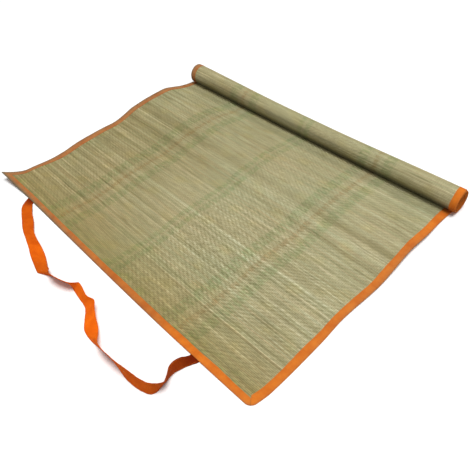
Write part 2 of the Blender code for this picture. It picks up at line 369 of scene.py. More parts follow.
def noiseOn(tree, place, speeds, detail=2.0, roughness=0.5):  # how quickly it changes each way
    vector = node(tree, "ShaderNodeCombineXYZ", {k: times(tree, place[k], speeds[k]) for k in (0, 1)})
    sockets = {"Vector": vector.outputs[0], "Scale": 1.0, "Detail": detail, "Roughness": roughness}
    return node(tree, "ShaderNodeTexNoise", sockets).outputs[0]


def addBump(tree, shader, height, distance, strength):
    bump = node(tree, "ShaderNodeBump", {"Height": height, "Distance": distance, "Strength": strength})
    tree.links.new(bump.outputs[0], shader.inputs["Normal"])


# The dyed stripes that run the length of the mat, from and to in mm across
dye = {
    "green": {
        "bands": [(179, 209), (258, 283), (442, 455), (465, 479), (638, 663), (708, 732)],
        "tint": (0.79, 0.885, 0.79, 1.0),
    },
    "red": {
        "bands": [(226, 237), (681, 692)],
        "tint": (0.90, 0.80, 0.72, 1.0),
    },
    "soft": 2.5,  # the borders' width in mm
    "jitter": 6.0 * mm,
    "frayed": (30, 0.9),  # how quickly the stripes' borders change, across and from straw to straw
    "worn": (60, 0.55),
    "wornShare": (0.36, 0.66, 0.0, 1.6),
}


def bandRamp(tree, share, bands):  # 1 inside the bands and 0 between them
    ramp = node(tree, "ShaderNodeValToRGB", {0: share})
    stops = ramp.color_ramp
    stops.elements[0].color = (0.0, 0.0, 0.0, 1.0)
    stops.elements.remove(stops.elements[1])
    soft = dye["soft"]
    for start, end in bands:
        places = (start - soft, start + soft / 2, end - soft / 2, end + soft)
        for place, light in zip(places, (0.0, 1.0, 1.0, 0.0)):
            stop = stops.elements.new(place * mm / mat["width"])
            stop.color = (light, light, light, 1.0)
    return ramp.outputs[0]


def addDye(tree, lay, colour):
    frayed = maths(tree, "SUBTRACT", noiseOn(tree, lay, dye["frayed"]), 0.5)
    place = maths(tree, "MULTIPLY_ADD", frayed, 2 * dye["jitter"], lay[0])
    share = maths(tree, "DIVIDE", place, mat["width"])
    worn = ranged(tree, noiseOn(tree, lay, dye["worn"], detail=3.0), *dye["wornShare"])
    for name in ("green", "red"):
        amount = times(tree, bandRamp(tree, share, dye[name]["bands"]), worn)
        colour = mixed(tree, amount, colour, tinted(tree, colour, dye[name]["tint"]))
    return colour


strawFinish = {
    "roughness": 0.62,
    "specular": 0.35,
    "fibre": ((55, 4.0), 4.0, 0.65),  # noise across and from straw to straw, its detail and roughness
    "blotch": ((26, 0.5), 3.0, 0.5),
    "fibreTone": (0.25, 0.75, 0.80, 1.18),  # from and to, and what that becomes
    "blotchTone": (0.3, 0.7, 0.90, 1.10),
    # painted shade in the grooves between straws
    "grooveShade": (0.0, 0.16, 0.50, 1.0),
    "fibreRoughness": (0.3, 0.7, 0.52, 0.74),
    "ridge": (0.0, 0.45),
    "fibreLift": 0.5,
    "bump": (0.25 * mm, 0.6),  # how deep and how strong
}


def strawMaterial():
    finish = strawFinish
    material, tree, shader = newMaterial("wovenStraw", finish["roughness"], finish["specular"])
    lay = placeOn(tree, "strawLay")
    within = maths(tree, "PINGPONG", lay[1], 0.5)
    fibre = noiseOn(tree, lay, *finish["fibre"])
    blotch = noiseOn(tree, lay, *finish["blotch"])
    tone = times(tree, ranged(tree, fibre, *finish["fibreTone"]), ranged(tree, blotch, *finish["blotchTone"]))
    # painted shade in the grooves between straws
    tone = times(tree, tone, ranged(tree, within, *finish["grooveShade"]))
    dyed = addDye(tree, lay, colourOn(tree, "strawColour"))
    tree.links.new(shaded(tree, dyed, tone), shader.inputs["Base Color"])
    tree.links.new(ranged(tree, fibre, *finish["fibreRoughness"]), shader.inputs["Roughness"])
    ridge = ranged(tree, within, *finish["ridge"], interpolation_type="SMOOTHSTEP")
    addBump(tree, shader, maths(tree, "MULTIPLY_ADD", fibre, finish["fibreLift"], ridge), *finish["bump"])
    return material


clothFinish = {
    "roughness": 0.9,
    "specular": 0.06,
    "patches": ((38, 30), 3.0, 0.6),  # noise along and across, its detail and roughness
    "patchShare": (0.32, 0.68),
    "patchTints": ((1.07, 1.14, 1.16, 1.0), (0.88, 0.77, 0.74, 1.0)),
    "yarn": (900, 900),
    "yarnLift": 0.8,
    "lowToHigh": (-0.9, 1.5),
    "raised": 0.5,  # how much the raised threads pale, as a share of how much the low ones darken
    "bump": (0.12 * mm, 0.55),
}


def clothMaterial(name, mapName, colourName, weave, worn):
    finish = clothFinish
    material, tree, shader = newMaterial(name, finish["roughness"], finish["specular"])
    lay = placeOn(tree, mapName)
    patchShare = ranged(tree, noiseOn(tree, lay, *finish["patches"]), *finish["patchShare"])
    colour = tinted(tree, colourOn(tree, colourName), mixed(tree, patchShare, *finish["patchTints"]))
    warpLift, weftLift = (maths(tree, "SINE", times(tree, way, 2 * math.pi / weave)) for way in lay)
    yarn = noiseOn(tree, lay, finish["yarn"])
    height = maths(tree, "MULTIPLY_ADD", yarn, finish["yarnLift"], times(tree, warpLift, weftLift))
    tone = ranged(tree, height, *finish["lowToHigh"], 1.0 - worn, 1.0 + worn * finish["raised"])
    tree.links.new(shaded(tree, colour, tone), shader.inputs["Base Color"])
    addBump(tree, shader, height, *finish["bump"])
    return material


threadFinish = {"roughness": 0.8, "specular": 0.15, "darkTwist": 0.72, "twistShare": (0.3, 0.7)}


def threadMaterial(name, colour, twistSpeed):
    finish = threadFinish
    material, tree, shader = newMaterial(name, finish["roughness"], finish["specular"])
    twist = noiseOn(tree, placeOn(tree, "threadLay"), (twistSpeed, twistSpeed))
    darker = (*(c * finish["darkTwist"] for c in colour[:3]), 1.0)
    tone = mixed(tree, ranged(tree, twist, *finish["twistShare"]), darker, colour)
    tree.links.new(tone, shader.inputs["Base Color"])
    return material


# The straw sheet. Each straw is a ridge. Every third straw is pressed down by each warp thread, one
# further on from thread to thread, so the weave runs slantwise. It turns round at the coloured stripes.
straws = {
    "perCell": 3,
    "flatCells": 69,
    "degreesPerCell": 20,
    "spare": 40,
    "threads": 180,  # spaces between warp threads across the sheet
    "repeat": 3,  # one straw in so many is pressed down
    "flatColumns": 18,  # on the underside of the flat part
    "woundColumns": 12,  # inside the roll
    "turnThreads": [0, 46, 92, 137, 180],
    "widthSpread": 0.16,
    "groove": 0.28 * mm,
    "crest": 0.64 * mm,
    "crestSpread": 0.10,
    "plain": 0.50 * mm,
    "pinch": 0.17 * mm,
    "pinchShow": [
        (0, 0.8), (200, 0.8), (260, 0.6), (440, 0.6), (490, 1.0), (690, 1.0), (740, 0.75), (900, 0.75),
    ],
    "wander": 0.7 * mm,
    "tapeCover": 11 * mm,
    "sideFade": 8 * mm,
    "frontFade": 6 * mm,
    "undersideRows": 100000,  # what the rows of the underside add to their numbers
}

strawLook = {
    "base": (0.361, 0.328, 0.172),
    "toTan": (0.026, -0.004, -0.004),
    "knots": 19,
    "toneSpread": 0.042,
    "toneHue": (0.97, 1.03, 1.40),  # paler straws are also greyer
    "rareTone": 0.009,  # a few straws stand out much more than the rest
    "rareLimits": (-3, 2),
    "groupSpread": 0.015,
    "groupKnots": 9,
    "groupEnds": 0.30,  # how often a new group of straws begins
    "lineSpread": 0.036,  # single straws that stand out for most of their length
    "lineKnots": 5,
    "lineSeed": 77,
    "lineWithin": 0.8,
    "lineApart": 0.35,  # how much they differ from their neighbours
    "linePower": 1.5,
    "lineLimit": 2.6,
    "lineShow": [(0, 2.8), (140, 1.65), (260, 1.2), (440, 1.25), (600, 1.75), (740, 2.0), (900, 1.7)],
    "lineFade": [
        (0, 1.0), (230, 1.0), (330, 0.75), (430, 0.4), (520, 0.15), (660, 0.3), (740, 0.6), (2000, 0.6),
    ],
    "hueSpread": 0.30,
    "hueWithin": 0.6,
    "hueWhole": 0.9,
    "hueDrift": 0.4,
    "toneDrift": 0.04,
    "quiet": [(0, 1.4), (200, 1.1), (400, 0.60), (560, 0.50), (700, 0.9), (900, 1.15)],
    # painted shade where the warp threads press straws down, and painted light on the straws beside them
    "pressedShade": -0.14,
    "pressedPatches": (0.4, 0.6, 2.2),  # by place, by straw and at most
    "weaveShow": [
        (0, 0.4), (180, 0.5), (250, 0.2), (440, 0.2), (490, 1.1), (680, 1.1), (740, 0.85), (900, 0.85),
    ],
    "weaveFade": [(0, 0.75), (120, 0.85), (200, 1.0), (320, 0.7), (460, 0.5), (2000, 0.5)],
    "cellSpread": 0.09,
    # Straws that lie paler or darker right across the mat: mm along at the left and right, width, tone
    "streaks": [
        (30, 27, 9, -0.12), (53, 57, 6, 0.09), (67, 62, 7, -0.11), (79, 80, 7, -0.06), (86, 93, 6, 0.20),
        (96, 101, 6, -0.10), (109, 118, 6, 0.07), (114, 125, 6, -0.08), (143, 152, 8, 0.13),
        (152, 145, 6, -0.10), (159, 168, 6, 0.10), (167, 173, 7, -0.20), (180, 187, 7, 0.15),
        (194, 193, 8, -0.11), (204, 214, 7, 0.10), (215, 224, 8, -0.12), (240, 255, 8, 0.14),
        (268, 270, 10, -0.13), (292, 294, 6, 0.12), (320, 339, 8, 0.09), (350, 349, 8, -0.11),
        (359, 356, 7, 0.12), (383, 383, 10, -0.22), (399, 406, 9, 0.13), (413, 418, 8, 0.10),
        # the dark streaks at 426 and 444 mm are partly the straws' own tone and partly painted shade of the
        # right edge's wave
        (426, 433, 9, -0.16), (444, 441, 12, -0.20), (469, 472, 10, 0.09), (487, 494, 7, -0.08),
        (521, 534, 10, -0.09), (515, 515, 8, 0.06), (549, 551, 12, 0.05), (582, 592, 12, 0.09),
    ],
    "streakReach": 0.55,
    "streakChange": 0.3,  # how much a streak's tone changes on its way
    "streakSeed": 60,
    "streakSpeed": 7,
    "streakShow": [(0, 1.65), (140, 1.3), (250, 1.0), (400, 0.75), (580, 0.7), (740, 1.0), (900, 1.25)],
    "farStreaks": 0.35,  # what the far right adds to that
    "farAcross": (600 * mm, 720 * mm),
    "farAlong": (220 * mm, 280 * mm),
    # Broad tints: how strong the straw's colour is multiplied, and how far it reaches
    "frontTint": (0.79, 0.71, 0.51),
    "frontReach": [(0, 112), (600, 112), (760, 95), (900, 88)],
    "leftTint": (0.87, 0.81, 0.71),
    "leftFade": (150 * mm, 520 * mm),
    "leftFarFade": (380 * mm, 520 * mm),
    "leftFarLoss": 0.75,
    "undersideTint": (1.06, 1.05, 1.04),
    # painted shade where the roll touches the flat part, and painted light just in front of it
    "creaseShadeTone": 0.5,
    "beltShadeTone": 0.72,  # painted shade in a belt low on the roll's near side
    "beltAngle": (4.33, 0.26),  # radians round the roll, and its reach
    "beltEnd": 720 * mm,
    "beltFade": 200 * mm,
    "yellowTint": (1.02, 1.00, 0.92),
    "yellowFrom": 0.1,
    "edgeGreen": (0.84, 1.00, 0.72),
    "edgeGreenReach": 26 * mm,
    "edgeGreenGain": 1.4,
    "limits": (0.02, 0.9),
}

firstTurn = 360 // straws["degreesPerCell"]
fineEnd = straws["flatCells"] + firstTurn + 1
topFine = range(1, straws["flatCells"] - 1)  # the cells with single straws, on each face of the sheet
underFine = range(straws["flatCells"] + 1, fineEnd)
strawPitch = roll["contact"] / straws["flatCells"] / straws["perCell"]


def cellEdges():
    flat = np.linspace(0.0, roll["contact"], straws["flatCells"] + 1)
    angles = np.arange(1, int(angleEnd / math.radians(straws["degreesPerCell"])) + 1)
    wound = roll["contact"] + woundAt(angles * math.radians(straws["degreesPerCell"]))
    return np.r_[flat, wound, mat["length"]]


def strawRows():  # per cell: the fine rows as (share of cell, straw in cell, on crest)
    rows = []
    for _ in range(fineEnd):
        widths = 1.0 + dice.uniform(-straws["widthSpread"], straws["widthSpread"], straws["perCell"])
        bounds = np.r_[0.0, np.cumsum(widths) / widths.sum()]
        fine = []
        for k in range(straws["perCell"]):
            fine.append((bounds[k], k, 0))
            fine.append(((bounds[k] + bounds[k + 1]) / 2, k + 0.5, 1))
        rows.append(fine)
    return rows


def layerRows(edges, fineRows, fineCells, coarseColumns):
    # rows of one face of the sheet as (along, straw number, on crest, columns, cell)
    plan = []
    for cell in range(len(edges)):
        isFine = cell in fineCells
        atFine = isFine or cell - 1 in fineCells
        number = straws["perCell"] * cell
        if cell > fineEnd:
            number = straws["perCell"] * fineEnd + (edges[cell] - edges[fineEnd]) / strawPitch
        columns = straws["threads"] if atFine else coarseColumns(cell)
        plan.append((edges[cell], number, 0 if atFine else 2, columns, cell))
        if isFine:
            for share, straw, crest in fineRows[cell][1:]:
                along = edges[cell] + (edges[cell + 1] - edges[cell]) * share
                plan.append((along, number + straw, crest, straws["threads"], cell))
    return plan


strawCount = straws["perCell"] * straws["flatCells"] + int(woundLength / strawPitch) + straws["spare"]


def strawKnots(draw, count, within, whole):  # random numbers along each straw and one for all of it
    return draw.normal(0, within, (strawCount, count)) + draw.normal(0, whole, (strawCount, 1))


toneKnots = strawKnots(dice, strawLook["knots"], 1, 1)
hueKnots = strawKnots(dice, strawLook["knots"], strawLook["hueWithin"], strawLook["hueWhole"])
crestKnots = dice.normal(0, 1, (strawCount, strawLook["knots"]))
groupOf = np.cumsum(dice.random(strawCount) < strawLook["groupEnds"])
groupKnots = dice.normal(0, 1, (groupOf[-1] + 1, strawLook["groupKnots"]))
cellTones = dice.normal(0, 1, (strawCount, straws["threads"] + 1))
lineDice = np.random.default_rng(strawLook["lineSeed"])
lineKnots = strawKnots(lineDice, strawLook["lineKnots"], strawLook["lineWithin"], 1)
lineKnots = lineKnots - strawLook["lineApart"] * (np.roll(lineKnots, 1, 0) + np.roll(lineKnots, -1, 0))
lineKnots = np.sign(lineKnots) * np.abs(lineKnots)**strawLook["linePower"]


def strawAt(number):
    return np.clip(np.floor(number).astype(int), 0, strawCount - 1)


def knotValue(knots, row, across):  # value between the knots along a straw
    place = np.clip(across / mat["width"], 0, 1) * (knots.shape[1] - 1)
    k = np.minimum(place.astype(int), knots.shape[1] - 2)
    t = rise(place - k)
    return knots[row, k] * (1 - t) + knots[row, k + 1] * t


def twillShift(thread):  # how many straws on the weave has moved at a thread
    turns = straws["turnThreads"]
    shifts = np.cumsum([0] + [(turns[k + 1] - turns[k]) * (-1)**k for k in range(len(turns) - 1)])
    return np.interp(thread, turns, shifts)


def pressedAt(number, thread):  # 1 where a warp thread presses a straw down, -0.5 beside it
    return np.cos(2 * math.pi * (number - 0.5 + twillShift(thread)) / straws["repeat"])


def strawTone(across, along, number, thread):  # how much paler or darker, as a power of e
    look = strawLook
    straw = strawAt(number)
    onGroove = np.abs(number - np.round(number)) < 0.01

    def ownTone(knots):  # in a groove it is halfway between two straws
        tone = knotValue(knots, straw, across)
        return np.where(onGroove, 0.5 * (tone + knotValue(knots, np.maximum(straw - 1, 0), across)), tone)

    tone = ownTone(toneKnots)
    tone = tone * look["toneSpread"] + np.clip(tone, *look["rareLimits"])**3 * look["rareTone"]
    tone = tone + knotValue(groupKnots, groupOf[straw], across) * look["groupSpread"]
    tone = tone * curveThrough(look["quiet"], across)
    line = np.clip(ownTone(lineKnots), -look["lineLimit"], look["lineLimit"])
    line = line * curveThrough(look["lineShow"], across) * curveThrough(look["lineFade"], along)
    tone = tone + line * look["lineSpread"]
    farRight = riseOver(across, *look["farAcross"]) * riseOver(along, *look["farAlong"])
    showing = curveThrough(look["streakShow"], across) * (1 + look["farStreaks"] * farRight)
    for k, (fromLeft, toRight, wide, amount) in enumerate(look["streaks"]):
        centre = (fromLeft + (toRight - fromLeft) * across / mat["width"]) * mm
        change = look["streakChange"] * softNoise(look["streakSeed"] + k, across * look["streakSpeed"])
        tone = tone + amount * showing * (1 + change) * hump(along, centre, look["streakReach"] * wide * mm)
    byPlace, byStraw, most = look["pressedPatches"]
    patchy = 1 + byPlace * sheetNoise("pressed", across, along)
    patchy = patchy + byStraw * knotValue(crestKnots, straw, across)
    # painted shade where the warp threads press straws down, and painted light on the straws beside them
    weave = pressedAt(number, thread) * look["pressedShade"] * np.clip(patchy, 0.0, most)
    weave = weave + cellTones[straw, thread.astype(int)] * look["cellSpread"]
    weave = weave * curveThrough(look["weaveShow"], across) * curveThrough(look["weaveFade"], along)
    return tone + weave + look["toneDrift"] * sheetNoise("tone", across, along)


def strawColours(across, along, number, thread, isTop):
    look = strawLook
    hue = knotValue(hueKnots, strawAt(number), across) * look["hueSpread"]
    hue = hue + look["hueDrift"] * sheetNoise("hue", across, along)
    front = hump(along, 0.0, curveThrough(look["frontReach"], across) * mm)
    left = 1 - riseOver(across, *look["leftFade"])
    left = left * (1 - look["leftFarLoss"] * riseOver(along, *look["leftFarFade"])) * (1 - front)
    yellow = rise(sheetNoise("yellow", across, along) - look["yellowFrom"])
    nearEdge = hump(np.minimum(along, across), 0.0, look["edgeGreenReach"])
    green = rise(sheetNoise("blotch", across, along) * look["edgeGreenGain"]) * nearEdge
    under = np.where(isTop, 0.0, 1.0)
    # painted shade in a belt low on the roll's near side
    shadedBelt = hump(angleAt(along - roll["contact"]), *look["beltAngle"])
    shadedBelt = shadedBelt * rise(across / look["beltFade"]) * rise((look["beltEnd"] - across) / look["beltFade"])
    colour = np.array(look["base"]) + hue[:, None] * np.array(look["toTan"])
    for share, tint in ((front, "frontTint"), (left, "leftTint"), (yellow, "yellowTint"),
                        (green, "edgeGreen"), (under, "undersideTint")):
        colour = colour * (1 + share[:, None] * (np.array(look[tint]) - 1))
    tone = strawTone(across, along, number, thread)
    colour = colour * np.exp(tone[:, None] * np.array(look["toneHue"]))
    # painted shade in the crease and under the roll, with a painted lighter band just in front of the crease
    dark = look["creaseShadeTone"]**creaseShade(along, isTop) * look["beltShadeTone"]**(shadedBelt * under)
    return np.clip(colour * dark[:, None], *look["limits"])


def strawFace(plan, isTop):  # one face of the sheet: its points, and each row's first point and columns
    alongs, numbers, crests, columns, cells = zip(*plan)
    counts = np.array(columns) + 1
    across = np.concatenate([np.linspace(0.0, mat["width"], count) for count in counts])
    thread = np.concatenate([np.round(np.linspace(0, straws["threads"], count)) for count in counts])
    along, number, crest = (
        np.repeat(np.array(values, float), counts) for values in (alongs, numbers, crests))
    cover = straws["tapeCover"]
    side = np.minimum(across, mat["width"] - across)
    free = rise((side - cover) / straws["sideFade"]) * rise((along - cover) / straws["frontFade"])
    height = straws["crest"] * (1.0 + straws["crestSpread"] * knotValue(crestKnots, strawAt(number), across))
    half = np.where(crest == 1, height, np.where(crest == 0, straws["groove"], straws["plain"]))
    half = straws["plain"] + (half - straws["plain"]) * free
    deep = straws["pinch"] * curveThrough(straws["pinchShow"], across)
    pinch = -pressedAt(number, thread) * deep * free * (crest < 2)
    offset = half + pinch if isTop else pinch - half
    wandered = along + sheetNoise("wander", across, along) * straws["wander"] * free
    return {
        "points": layPoint(across, wandered) + layFacing(across, wandered) * offset[:, None],
        "across": across,
        "along": along,
        "number": number,
        "thread": thread,
        "isTop": np.full(len(across), isTop),
        "valleyRow": np.where(crest == 0, np.round(number) + (0 if isTop else straws["undersideRows"]), -1),
        "starts": np.r_[0, np.cumsum(counts)[:-1]].tolist(),
        "columns": columns,
        "cells": np.array(cells),
    }


def bandFaces(startA, columnsA, startB, columnsB, flip):
    # faces between two rows, one of which may have several columns for each of the other's
    faces = []
    few = min(columnsA, columnsB)
    stepA, stepB = columnsA // few, columnsB // few
    for k in range(few):
        near = [startA + k * stepA + j for j in range(stepA + 1)]
        far = [startB + k * stepB + j for j in range(stepB + 1)]
        face = near + far[::-1]
        faces.append(tuple(face[::-1] if flip else face))
    return faces


def rimFaces(top, bottom, base, atRight):  # closes a side of the sheet, one many-sided face for each cell
    def rimPoints(face, first, cell):
        rows = [*np.flatnonzero(face["cells"] == cell), np.flatnonzero(face["cells"] == cell + 1)[0]]
        return [first + face["starts"][r] + (face["columns"][r] if atRight else 0) for r in rows]

    faces = []
    for cell in range(top["cells"].max()):
        face = rimPoints(top, 0, cell) + rimPoints(bottom, base, cell)[::-1]
        faces.append(tuple(face[::-1] if atRight else face))
    return faces


def makeStrawSheet(material):
    flatCells = straws["flatCells"]

    def topColumns(cell):
        return straws["threads" if cell in (0, flatCells - 1, flatCells) else "woundColumns"]

    def underColumns(cell):
        return straws["flatColumns" if cell < flatCells else "woundColumns"]

    edges = cellEdges()
    fineRows = strawRows()
    top = strawFace(layerRows(edges, fineRows, topFine, topColumns), True)
    bottom = strawFace(layerRows(edges, fineRows, underFine, underColumns), False)
    base = len(top["points"])
    faces = []
    for face, first, flip in ((top, 0, False), (bottom, base, True)):
        starts, columns = face["starts"], face["columns"]
        for r in range(len(starts) - 1):
            faces += bandFaces(first + starts[r], columns[r], first + starts[r + 1], columns[r + 1], flip)
    faces += rimFaces(top, bottom, base, False) + rimFaces(top, bottom, base, True)
    for r, flip in ((0, True), (-1, False)):
        faces += bandFaces(top["starts"][r], top["columns"][r], base + bottom["starts"][r],
                           bottom["columns"][r], flip)
    points, across, along, number, thread, isTop, valleyRow = (
        np.concatenate([top[key], bottom[key]])
        for key in ("points", "across", "along", "number", "thread", "isTop", "valleyRow"))
    piece = makePiece("strawSheet", points, faces, material)
    pointMap(piece, "strawLay", np.c_[across, number])
    pointColour(piece, "strawColour", strawColours(across, along, number, thread, isTop))
    creaseValleys(piece, valleyRow)
    return piece, edges, fineRows


def creaseValleys(piece, valleyRow):  # the shading breaks between one straw and the next
    ends = np.empty(2 * len(piece.data.edges), np.int32)
    piece.data.edges.foreach_get("vertices", ends)
    first, second = valleyRow[ends.reshape(-1, 2)].T
    piece.data.edges.foreach_set("use_edge_sharp", (first == second) & (first >= 0))


# Warp threads, which pass over one straw and under the next two
warp = {
    "width": 0.50 * mm,
    "height": 0.15 * mm,
    "sunk": 0.10 * mm,
    "undersidePinch": 0.5,
    "underTape": 4,  # threads left out at each side
    "colour": (0.235, 0.205, 0.108, 1.0),
    "twist": 700,
    # The eight points of each dash: how far along its straw on either face, and sideways
    "topShares": [-0.03, 0.28, 0.28, 0.28, 0.72, 0.72, 0.72, 1.03],
    "underShares": [-0.02, 0.15, 0.15, 0.15, 0.85, 0.85, 0.85, 1.02],
    "sideways": [0, -0.5, 0, 0.5, -0.5, 0, 0.5, 0],
    "faces": [
        (0, 2, 1), (0, 3, 2), (1, 2, 5, 4), (2, 3, 6, 5), (4, 5, 7), (5, 6, 7), (0, 1, 4, 7), (0, 7, 6, 3),
    ],
}


def makeWarpThreads(material, edges, fineRows):
    sideways = np.array(warp["sideways"]) * warp["width"]
    points, faces, lays = [], [], []
    count = 0
    for isTop, cells in ((True, topFine), (False, underFine)):
        bounds, numbers = [], []
        for cell in cells:
            length = edges[cell + 1] - edges[cell]
            bounds += [edges[cell] + length * share for share, _, crest in fineRows[cell] if crest == 0]
            numbers += [straws["perCell"] * cell + k for k in range(straws["perCell"])]
        bounds = np.array(bounds + [edges[cells[-1] + 1]] * 2)
        numbers = np.array(numbers)
        shares = np.array(warp["topShares"] if isTop else warp["underShares"])
        crest = straws["crest"] - straws["pinch"] * (1.0 if isTop else warp["undersidePinch"])
        low, high, end = crest - warp["sunk"], crest + warp["height"], straws["groove"] - warp["sunk"]
        offset = np.array([end, low, high, low, low, high, low, end]) * (1 if isTop else -1)
        for thread in range(warp["underTape"], straws["threads"] - warp["underTape"] + 1):
            place = mat["width"] * thread / straws["threads"]
            over = (numbers + int(twillShift(thread))) % straws["repeat"]
            shown = np.flatnonzero(over == (0 if isTop else 1))
            begin, finish = bounds[shown], bounds[shown + (1 if isTop else 2)]
            along = begin[:, None] + (finish - begin)[:, None] * shares
            across = place + np.broadcast_to(sideways, along.shape)
            wandered = along + sheetNoise("wander", across, along) * straws["wander"]
            points.append(layPoint(across, wandered) + layFacing(across, wandered) * offset[None, :, None])
            lays.append(np.stack([across, along], -1))
            for first in range(8 * count, 8 * (count + len(begin)), 8):
                dash = [tuple(first + v for v in face) for face in warp["faces"]]
                faces += dash if isTop else [face[::-1] for face in dash]
            count += len(begin)
    piece = makePiece("warpThreads", np.concatenate(points), faces, material)
    pointMap(piece, "threadLay", np.concatenate(lays))
    return piece


# The cloth tape folded over the edges
tape = {
    "width": mat["tapeWidth"],
    "profile": [  # outer face from its inner border to the fold: (inward, offset) in mm
        (19.0, 0.62), (18.8, 0.90), (18.1, 0.97), (16.6, 1.00), (15.7, 0.88), (14.8, 0.99), (10.0, 0.98),
        (5.0, 0.98), (1.2, 0.97), (-0.2, 0.82), (-0.85, 0.46),
    ],
    "nose": -1.15,
    "inner": [(18.7, 0.56), (9.5, 0.60), (0.9, 0.60), (0.1, 0.40)],
    # How wide the upper flap shows, in mm, by mm along each edge
    "flap": {
        "front": [(0, 12), (90, 13), (330, 13), (450, 13.4), (510, 14.4), (630, 14.4), (690, 14.8),
                  (750, 13.9), (810, 14.4), (870, 13), (900, 13)],
        "left": [(0, 12), (60, 13), (90, 14.5), (150, 20), (210, 21.5), (270, 20.5), (330, 19), (390, 19.5),
                 (450, 19), (510, 20.5), (570, 19), (680, 17)],
        "right": [(0, 17), (90, 16), (150, 17.5), (210, 15.4), (270, 16), (330, 15.8), (390, 16.6),
                  (450, 15.8), (510, 17), (570, 16.4), (630, 18), (680, 18)],
    },
    "underShow": {"front": 1.0, "left": 1.0, "right": 0.80},  # and its lower flap, as a share of its width
    "mitreGap": 0.18 * mm,
    "fan": 26 * mm,
    "innerStep": 12,  # degrees between stations inside the roll
    "borderWander": 0.45 * mm,
    "wanderSeed": 20,
    "wanderSpeed": 45,
    "wanderFrom": (25 * mm, 45 * mm),  # out from the corner
    "unevenness": 0.06 * mm,
    "unevenSeed": 30,
    "unevenSpeeds": (170, 140),  # along the edge and inward
    "borderPoints": 3,  # at each end of its profile
    "undersideShift": 50 * mm,  # on the cloth's map
    "stitchAt": 15.7 * mm,
    "stitchPitch": 3.2 * mm,
    "stitchDip": 0.05 * mm,
    "stitchDipReach": 1.6 * mm,
    "weave": 0.9 * mm,
    "worn": 0.16,
    "clean": (0.67, 0.176, 0.018),
    "soiled": (0.35, 0.158, 0.062),
    # How soiled each edge is, from 0 to 1, by mm along it
    "soil": {
        "front": [(0, 1.05), (210, 0.95), (330, 0.74), (450, 0.48), (630, 0.36), (690, 0.06),
                  (760, 0.0), (900, 0.15)],
        "left": [(0, 1.0), (210, 0.85), (450, 0.95), (1800, 0.9)],
        "right": [(0, 0.05), (210, 0.2), (450, 0.35), (570, 0.1), (720, 0.0), (1800, 0.0)],
    },
    "soilAtFold": 1.25,  # and how that changes from the fold to the inner border
    "soilAtBorder": {"front": 0.5, "left": 0.75, "right": 0.35},
    "wearAndShade": 0.18,  # what both borders of a flap add to that: partly wear, partly painted shade at the fold and along the inner border
    "wearAndShadeAtFold": 0.14,
    "wearAndShadeAtBorder": (0.6, 1.0),
    # Its tone by mm along each edge on the face, and then its painted shade at the fold
    "faceTone": {
        "front": [(0, 1.0), (270, 0.98), (450, 0.92), (570, 0.88), (640, 0.90), (700, 1.0), (900, 1.0)],
        "left": [(0, 1.0), (900, 1.0)],
        "right": [(0, 1.0), (900, 1.0)],
    },
    "foldShade": {
        "front": [(0, 0.80), (600, 0.85), (750, 0.95)],
        "left": [(0, 0.85), (900, 0.85)],
        "right": [(0, 0.95), (900, 0.95)],
    },
    "foldAt": (-0.6 * mm, 1.5 * mm),
    "borderTone": 0.06,
    "borderFrom": 18.5 * mm,
    "innerTurnShade": 0.72,  # painted shade on the turns inside the roll
    "innerTurn": (5.7, 6.4),  # radians round the roll
    "creaseShadeTone": 0.75,  # painted shade where the roll touches the flat part
}


def tapeProfile():
    upper = tape["profile"]
    outer = upper + [(tape["nose"], 0.0)] + [(inward, -offset) for inward, offset in upper[::-1]]
    inner = [(inward, -offset) for inward, offset in tape["inner"]]
    inner += [(inward, offset) for inward, offset in tape["inner"][::-1]]
    return np.array(outer + inner) * mm, len(outer)


def flapShare(side, stations):  # how much of its full width the upper flap shows
    return curveThrough(tape["flap"][side], stations) * mm / tape["width"]


def mitredRun(stations, inward):  # stations pulled to the corner's mitre line within the fan
    start = inward + tape["mitreGap"]
    return np.where(stations < tape["fan"], start + (tape["fan"] - start) * stations / tape["fan"], stations)


def tapeStations(side):
    step = tape["stitchPitch"] / 2
    if side == "front":
        half = np.arange(0.0, mat["width"] / 2 - 1 * mm, step)
        return np.r_[half, mat["width"] / 2, mat["width"] - half[::-1]]
    flat = np.arange(0.0, roll["contact"], step)
    turn = roll["contact"] + np.arange(0.0, woundAt(2 * math.pi), step)
    inner = np.arange(2 * math.pi + 0.1, angleEnd, math.radians(tape["innerStep"]))
    return np.r_[flat, turn, roll["contact"] + woundAt(inner), mat["length"] - 1 * mm]


def tapeGrid(name, side, profile, isBorder):  # the place along the edge and inward, stations by profile
    stations = tapeStations(side)
    isFar = (side == "front") & (stations > mat["width"] / 2)
    fromCorner = np.where(isFar, mat["width"] - stations, stations)
    wander = tape["borderWander"] * softNoise(tape["wanderSeed"] + len(name), stations * tape["wanderSpeed"])
    wander = wander * riseOver(fromCorner, *tape["wanderFrom"])
    runs, inwards = [], []
    for (inward, offset), onBorder in zip(profile, isBorder):
        place = np.full(len(stations), inward)
        if inward > 0:
            place = place * (flapShare(side, stations) if offset > 0 else tape["underShow"][side])
        place = place + (wander if onBorder else 0.0)
        run = mitredRun(fromCorner, place)
        runs.append(np.where(isFar, mat["width"] - run, run))
        inwards.append(place)
    return np.array(runs).T, np.array(inwards).T


